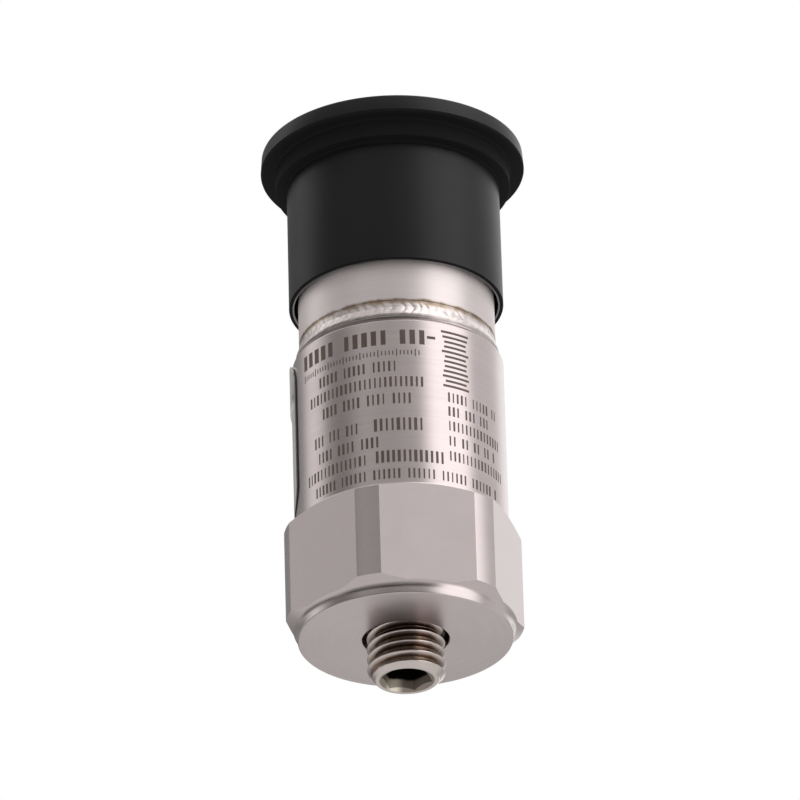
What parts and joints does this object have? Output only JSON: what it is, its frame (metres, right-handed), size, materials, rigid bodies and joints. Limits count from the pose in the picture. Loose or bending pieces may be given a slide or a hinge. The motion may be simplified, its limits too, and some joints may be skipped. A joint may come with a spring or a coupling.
{
  "type": "vibration sensor",
  "caption": "Stud-mounted industrial vibration sensor: stainless case with hexagonal base, bolted piezo stack inside, and a pin connector under a black push-on cap.",
  "frame": {"origin": "centre of the mounting face, on the sensor's axis, where the stud comes out", "axes": "+Z along the sensor's axis from the mounting face to the cap, -Y through the middle of one hexagon flat, +X and -X through hexagon corners and the two pins"},
  "size_m": [0.0214, 0.0214, 0.0474],
  "materials": {
    "case_steel": "fine turned stainless",
    "neck_steel": "fine turned stainless",
    "inner_steel": "turned stainless",
    "stud_steel": "bright threaded stainless",
    "weld_metal": "rippled bead with straw and brown heat tint",
    "seal_glass": "opaque dark green sealing glass",
    "pin_gold": "gold plated",
    "cap_plastic": "satin black moulded",
    "alumina": "ground white ceramic",
    "amber_film": "amber film",
    "can_nickel": "drawn nickel-plated can",
    "piezo_ceramic": "fired ceramic",
    "electrode_brass": "rolled foil",
    "tungsten": "sintered heavy alloy, turned",
    "spring_steel": "blued spring steel",
    "screw_steel": "black oxide",
    "white_nylon": "natural",
    "board_green": "solder mask",
    "chip_black": "moulded",
    "capacitor_amber": "moulded",
    "resistor_body": "glazed",
    "wire_red": "insulated wire",
    "wire_white": "insulated wire"
  },
  "bodies": {
    "sensor": {"base_housing": "case_steel", "mounting_stud": "stud_steel", "closure_weld": "weld_metal", "connector_shell": "neck_steel", "glass_seal": "seal_glass", "contact_pin_a": "pin_gold", "contact_pin_b": "pin_gold", "isolation_disc": "alumina", "insulating_sleeve": "amber_film", "shield_can": "can_nickel", "inner_base": "inner_steel", "piezo_disc_lower": "piezo_ceramic", "piezo_disc_upper": "piezo_ceramic", "signal_electrode": "electrode_brass", "seismic_mass": "tungsten", "spring_washer": "spring_steel", "preload_screw": "screw_steel", "screw_sleeve": "white_nylon", "board_spacer": "white_nylon", "circuit_board": "board_green", "amplifier_chip": "chip_black", "coupling_capacitor": "capacitor_amber", "resistor_a": "resistor_body", "resistor_b": "resistor_body", "signal_lead": "wire_red", "ground_lead": "wire_white", "pin_lead_a": "wire_white", "pin_lead_b": "wire_red"},
    "cap": {"dust_cap": "cap_plastic"}
  },
  "joints": [
    {"name": "cap_pull", "type": "slide", "parent": "sensor", "child": "cap", "axis": [0, 0, 1], "range_m": [0, 0.016]}
  ]
}
